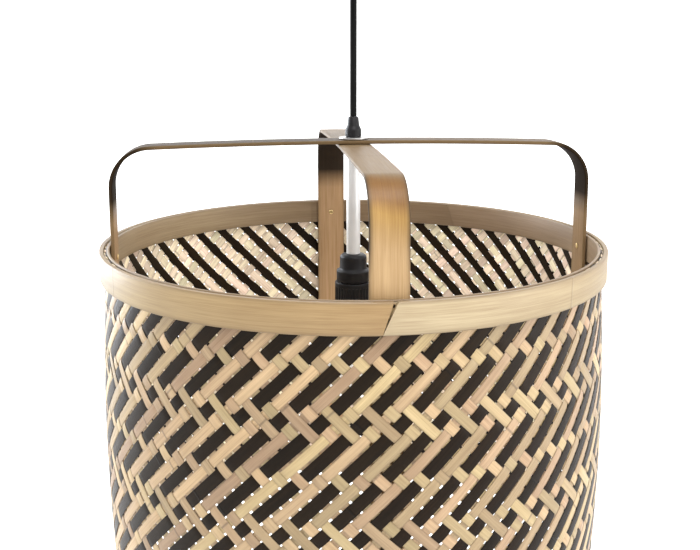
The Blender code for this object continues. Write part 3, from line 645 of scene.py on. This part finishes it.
def strap(name, degrees, node, tone, material):
    """A flat bamboo strip bent to a wide arch, its skin side outwards, at an angle to the side strap."""
    low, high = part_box(node)
    heading = STRAP_TURN + math.radians(degrees)
    half = strap_half(high.z, low.z)
    path = np.array(half + [(-reach, height) for reach, height in reversed(half[:-1])])
    along = np.array([math.cos(heading), math.sin(heading), 0.0])
    centres = path[:, :1] * along + path[:, 1:] * np.array([0.0, 0.0, 1.0])
    inside = np.array([0.0, 0.0, SHADE_BASE])
    length = run_lengths(centres)
    length -= length[-1] / 2
    outline = rounded_outline(STRAP_WIDTH, STRAP_THICKNESS - 0.0002, 0.0007, 3, 0.0002)
    solid = Solid()
    sections = strip_sections(centres, centres - inside, outline)
    solid.sweep(sections, length, outline, tone)
    return solid.piece(name, material, "lamp", "bamboo", [node])


strap("side_strap_strip", 0, "side_strap", 0.297, side_bamboo)
strap("cross_strap_strip", 90, "cross_strap", 0.571, cross_bamboo)


# ---- centre fittings ----
TUBE_BORE = 0.0053  # round the threaded tube


def centre_fittings():
    """Cord grip, washers, nut and tube sleeve on the centre tube."""
    low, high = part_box("cord_grip")
    base, top = low.z, high.z
    profile = [
        (0, top), (0.0036, top), (0.0043, top - 0.0003), (0.0047, top - 0.0009), (0.0055, base + 0.0105),
        (0.0058, base + 0.0095), (0.0066, base + 0.0078), (0.0071, base + 0.0066), (0.0072, base + 0.0060),
        (0.0072, base + 0.0008), (0.0070, base + 0.0003), (0.0065, base), (0, base),
    ]

    def ribs(radius, height, angle):
        """Grip ribs round the collar."""
        if base + 0.0007 < height < base + 0.0062:
            return radius - 0.00022 * (1 - math.cos(24 * angle)) / 2
        return radius

    turned("cord_grip_body", profile, black_plastic, "lamp", "black_plastic", ["cord_grip"], 144, ribs)
    for node in ("top_washer", "lower_washer"):
        low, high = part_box(node)
        outer, bore, edge = high.x, TUBE_BORE, 0.0004
        worn = edge * 0.3  # how far in the middle of a round edge is
        profile = [(bore, high.z), (outer - edge, high.z), (outer - worn, high.z - worn)]
        profile += [(outer, high.z - edge), (outer, low.z + edge), (outer - worn, low.z + worn)]
        profile += [(outer - edge, low.z), (bore, low.z)]
        turned(node + "_disc", profile, nickel, "lamp", "nickel", [node], 72)

    low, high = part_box("tube_sleeve")
    outer, bore, edge = high.x, TUBE_BORE, 0.0003
    profile = [(bore, high.z), (outer - edge, high.z), (outer, high.z - edge)]
    profile += [(outer, low.z + edge), (outer - edge, low.z), (bore, low.z)]
    turned("tube_sleeve_shell", profile, sleeve_finish, "lamp", "nickel", ["tube_sleeve"], 72)

    low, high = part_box("lock_nut")
    flat = 0.007

    def hexagon(radius, height, angle):
        """Six flats under corners that a turned chamfer cuts back."""
        if radius < flat * 0.9:
            return radius
        reach = flat / math.cos((angle % (math.pi / 3)) - math.pi / 6)
        near_face = min(high.z - height, height - low.z)
        return min(reach, flat * (1.03 if near_face < 0.00001 else 1.16))

    profile = [(TUBE_BORE, high.z), (flat, high.z), (flat, high.z - 0.0007), (flat, low.z + 0.0007)]
    profile += [(flat, low.z), (TUBE_BORE, low.z)]
    turned("lock_nut_hex", profile, steel, "lamp", "zinc_steel", ["lock_nut"], 120, hexagon)


centre_fittings()


def lampholder():
    """Domed cap with a stepped shoulder, and a ribbed body with a plain skirt."""
    low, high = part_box("holder_cap")
    top, base, outer = high.z, low.z, high.x
    wall = 0.0018
    flat, dome = 0.0088, 0.0034  # radius of the flat top and of the round edge
    profile = [(TUBE_BORE, top), (flat, top)]
    profile += arc((flat, top - dome), dome, 90, 0, 6)[1:]
    profile += [(0.0124, top - 0.0125), (0.0128, top - 0.0134), (0.0138, top - 0.0142)]
    profile += [(0.0148, top - 0.0146), (outer, top - 0.0153), (outer, base + 0.0006)]
    profile += [(outer - 0.0005, base), (outer - wall, base), (outer - wall, top - 0.0160)]
    profile += [(0.0105, top - 0.0110), (0.0105, top - 0.0050), (0.0085, top - 0.0025)]
    profile += [(TUBE_BORE, top - 0.0025)]
    turned("holder_cap_shell", profile, black_plastic, "lamp", "black_plastic", ["holder_cap"], 96)

    low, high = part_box("holder_body")
    top, base, outer = high.z, low.z, high.x
    inner = 0.0148
    profile = [(outer - 0.0010, top), (outer - 0.0003, top - 0.0003), (outer, top - 0.0010)]
    profile += [(outer, top - 0.0040), (outer, top - 0.0045)]
    profile += [(outer, top - 0.0045 - 0.0185 * i / 6) for i in range(1, 7)]
    profile += [(outer, top - 0.0236), (outer, base + 0.0010), (outer - 0.0003, base + 0.0003)]
    profile += [(outer - 0.0010, base), (inner, base), (inner, top)]
    rib_top, rib_base = top - 0.0042, top - 0.0232

    def ribs(radius, height, angle):
        """Upright grooves between the body's ribs."""
        if rib_base < height < rib_top and radius > inner + 0.0005:
            return radius - 0.0007 * (0.5 - 0.5 * math.cos(30 * angle)) ** 0.7
        return radius

    turned("holder_body_shell", profile, black_plastic, "lamp", "black_plastic", ["holder_body"], 240, ribs)


lampholder()


def bulb():
    """The glass envelope and the screw cap with its rolled thread."""
    low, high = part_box("bulb_glass")
    bottom, radius = low.z, high.x
    centre = (0, bottom + radius)
    neck = 0.0119
    profile = [(neck, high.z), (neck, high.z - 0.0070)]
    profile += [(0.0122, high.z - 0.0095), (0.0146, high.z - 0.0180)]
    shoulder = arc(centre, radius, 38, -90, 36)
    throat, join = np.array(profile[-1]), np.array(shoulder[0])
    bend = np.array([join[0] - 0.0062, join[1] + 0.0078])
    for i in range(1, 8):
        t = i / 8
        point = throat * (1 - t) ** 2 + bend * 2 * t * (1 - t) + join * t * t
        profile.append(tuple(point))
    turned("bulb_globe", profile + shoulder, opal, "bulb", "opal_glass", ["bulb_glass"], 96)

    low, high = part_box("bulb_screw_cap")
    outer, pitch, depth = high.x, 0.00363, 0.0009
    thread_top, thread_base = high.z - 0.0035, low.z + 0.0035
    run_out = 0.0015
    rings = 72
    profile = [(0, high.z), (0.0100, high.z), (0.0108, high.z - 0.0008)]
    profile += [(outer, thread_top - (thread_top - thread_base) * i / rings) for i in range(rings + 1)]
    profile += [(outer, low.z + 0.0006), (outer - 0.0004, low.z), (0, low.z)]

    def thread(r, height, angle):
        """A rolled thread that runs out at both ends."""
        if r < outer:
            return r
        fade = min(1.0, max(0.0, min(thread_top - height, height - thread_base) / run_out))
        wave = 0.5 - 0.5 * math.cos(TURN * height / pitch + angle)
        if height <= thread_base - 0.001:
            return r
        return r - depth * (wave if fade == 1.0 else 1 - fade * (1 - wave))

    turned("bulb_cap_thread", profile, nickel, "bulb", "nickel", ["bulb_screw_cap"], 64, thread, 60)


bulb()


def ceiling_fitting():
    """The ceiling plate and the cup over it, with its rolled lip."""
    low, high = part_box("ceiling_plate")
    outer, base = high.x, low.z
    inner = outer - 0.002
    profile = [(0, 0), (outer - 0.0008, 0), (outer - 0.0002, -0.0002), (outer, -0.0008), (outer, base)]
    profile += [(inner, base), (inner, -0.0024), (0, -0.0024)]
    turned("ceiling_plate_pan", profile, steel, "ceiling", "zinc_steel", ["ceiling_plate"], 96)

    low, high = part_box("ceiling_cup")
    outer, top, base = high.x, high.z, low.z
    wall, corner, hole = 0.0015, 0.012, 0.012
    middle = (outer - corner, base + corner)
    profile = [(outer - 0.0004, top), (outer, top - 0.0004), (outer, top - 0.0030)]
    profile += [(outer - 0.0004, top - 0.0036), (outer - 0.0004, top - 0.0060)]
    profile += arc(middle, corner - 0.0004, 0, -90, 14)
    profile += [(hole + 0.0004, base), (hole, base + 0.0004), (hole, base + wall)]
    profile += arc(middle, corner - wall, -90, 0, 14)
    profile += [(outer - wall, top)]
    turned("ceiling_cup_shell", profile, black_metal, "ceiling", "black_metal", ["ceiling_cup"], 128)


ceiling_fitting()

# ---- carried-over nodes ----
SIDES = ("right", "back", "left", "front")
PIN_NAMES = [f"strap_pin_{place}_{side}" for place in ("top", "bottom") for side in SIDES]
CARRIED = (
    (steel, ["cup_screw_left", "cup_screw_right", "terminal_screw_live", "terminal_screw_neutral"]),
    (steel, ["grip_screw", "threaded_tube", "holder_nut"]),
    (white_plastic, ["terminal_block", "lead_live", "lead_neutral", "holder_insulator"]),
    (black_plastic, ["swivel_seat", "bulb_insulator"]),
    (black_cord, ["cup_lead"]),
    (brass, ["swivel_ball", "cord_sleeve", "screw_shell", "centre_contact", "bulb_contact"]),
    (brass, PIN_NAMES),
)
for material, names in CARRIED:
    for name in names:
        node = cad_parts[name]
        node.data.materials.clear()
        node.data.materials.append(material)


# ---- studio ----
SKY = [(0.0, 0.80), (0.25, 0.34), (0.60, 0.36), (1.0, 0.70)]  # brightness from the left to the right


def studio():
    """A pale sweep, a sky that is brighter at the sides, and four soft lamps."""
    floor_z = SHADE_BASE - 3.0
    front, back, bend, wide = -40.0, 2.6, 1.2, 40.0
    rows = [(front, floor_z), (back - bend, floor_z)]
    for a in np.linspace(0.05, math.pi / 2, 20):
        rows.append((back - bend + bend * math.sin(a), floor_z + bend * (1 - math.cos(a))))
    rows.append((back, floor_z + 9.0))
    points = [(x, y, z) for y, z in rows for x in (-wide, wide)]
    faces = [(2 * i, 2 * i + 1, 2 * i + 3, 2 * i + 2) for i in range(len(rows) - 1)]
    mesh = bpy.data.meshes.new("sweep")
    mesh.from_pydata(points, [], faces)
    mesh.shade_smooth()
    paper = Finish("sweep_paper", 0.95)
    paper.shader.inputs["Base Color"].default_value = (0.95, 0.95, 0.95, 1.0)
    paper.shader.inputs["Specular IOR Level"].default_value = 0.0
    paper.shader.inputs["Emission Color"].default_value = (1.0, 1.0, 1.0, 1.0)
    paper.shader.inputs["Emission Strength"].default_value = 0.80
    mesh.materials.append(paper.material)
    sweep = bpy.data.objects.new("sweep", mesh)
    bpy.context.scene.collection.objects.link(sweep)

    world = bpy.data.worlds.new("sky")
    world.use_nodes = True
    tree = world.node_tree
    place = tree.nodes.new("ShaderNodeTexCoord")
    split = tree.nodes.new("ShaderNodeSeparateXYZ")
    share = tree.nodes.new("ShaderNodeMapRange")
    share.inputs["From Min"].default_value = -1.0
    ramp = tree.nodes.new("ShaderNodeValToRGB")
    while len(ramp.color_ramp.elements) < len(SKY):
        ramp.color_ramp.elements.new(0.5)
    for element, (position, level) in zip(ramp.color_ramp.elements, SKY):
        element.position = position
        element.color = (level, level, level, 1.0)
    tree.links.new(place.outputs["Generated"], split.inputs[0])
    tree.links.new(split.outputs["X"], share.inputs["Value"])
    tree.links.new(share.outputs["Result"], ramp.inputs["Fac"])
    tree.links.new(ramp.outputs["Color"], tree.nodes["Background"].inputs["Color"])
    tree.nodes["Background"].inputs["Strength"].default_value = 1.5
    bpy.context.scene.world = world

    target = Vector((0, 0, RIM_TOP - 0.08))
    for name, place, size, power, colour in (
        ("key", (0.6, -1.6, 0.9), 1.0, 8.0, (1.0, 1.0, 1.0)),
        ("side", (-1.35, 0.85, -0.10), 1.2, 34.0, (0.86, 0.92, 1.0)),
        ("right", (1.7, -0.7, -0.2), 1.0, 12.0, (1.0, 1.0, 1.0)),
        ("top", (0.1, -0.6, 1.2), 0.8, 30.0, (1.0, 1.0, 1.0)),
    ):
        light = bpy.data.lights.new(name, "AREA")
        light.shape = "DISK"
        light.size = size
        light.energy = power
        light.color = colour
        lamp = bpy.data.objects.new(name, light)
        lamp.location = place
        lamp.rotation_euler = (target - Vector(place)).to_track_quat("-Z", "Y").to_euler()
        bpy.context.scene.collection.objects.link(lamp)
    bpy.context.scene.view_settings.view_transform = "Standard"


studio()
